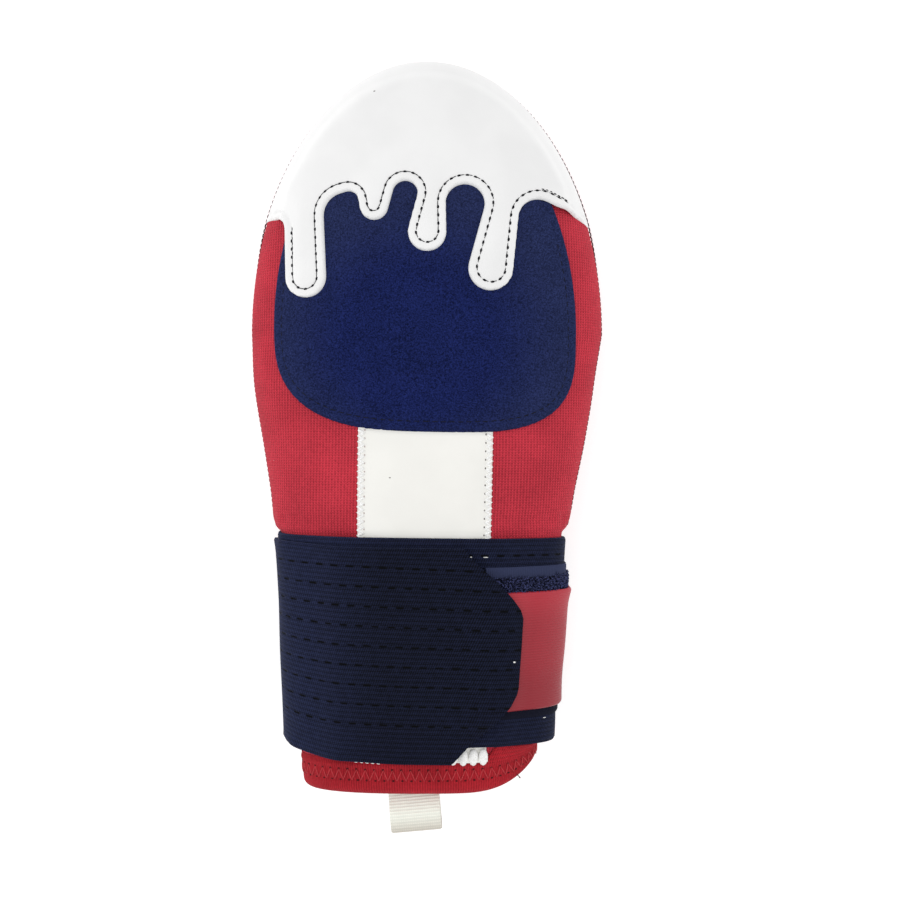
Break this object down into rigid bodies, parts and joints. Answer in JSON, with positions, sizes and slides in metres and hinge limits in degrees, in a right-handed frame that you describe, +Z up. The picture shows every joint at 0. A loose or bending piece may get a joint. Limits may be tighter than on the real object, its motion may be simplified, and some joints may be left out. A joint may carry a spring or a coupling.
{
  "type": "baseball sliding mitt",
  "caption": "Flat padded hand cover with a rounded fingertip end, an open cuff, a wide elastic strap wound round the wrist and a webbing pull loop.",
  "frame": {"origin": "bottom centre of the bounding box, on the surface that the mitt lies on", "axes": "+Y toward the fingertips, +Z up through the back of the hand, palm side down, +X toward the side where the strap closes"},
  "size_m": [0.1314, 0.2884, 0.0484],
  "materials": {
    "red_neoprene": "knitted fabric over soft foam",
    "navy_pad": "brushed",
    "white_cap": "smooth synthetic, satin",
    "white_strip": "smooth synthetic, satin",
    "hem_tape": "knitted tape",
    "navy_elastic": "ribbed elastic with slit rows",
    "fastening_pile": "looped pile",
    "red_rubber": "ribbed, satin",
    "webbing": "woven"
  },
  "bodies": {
    "root": {"back_shell": "red_neoprene", "palm_shell": "red_neoprene", "back_pad": "navy_pad", "tip_cap": "white_cap", "centre_strip": "white_strip", "cuff_hem": "hem_tape", "wrist_strap": "navy_elastic", "loop_patch": "fastening_pile", "strap_tab": "red_rubber", "pull_loop": "webbing"}
  },
  "joints": []
}
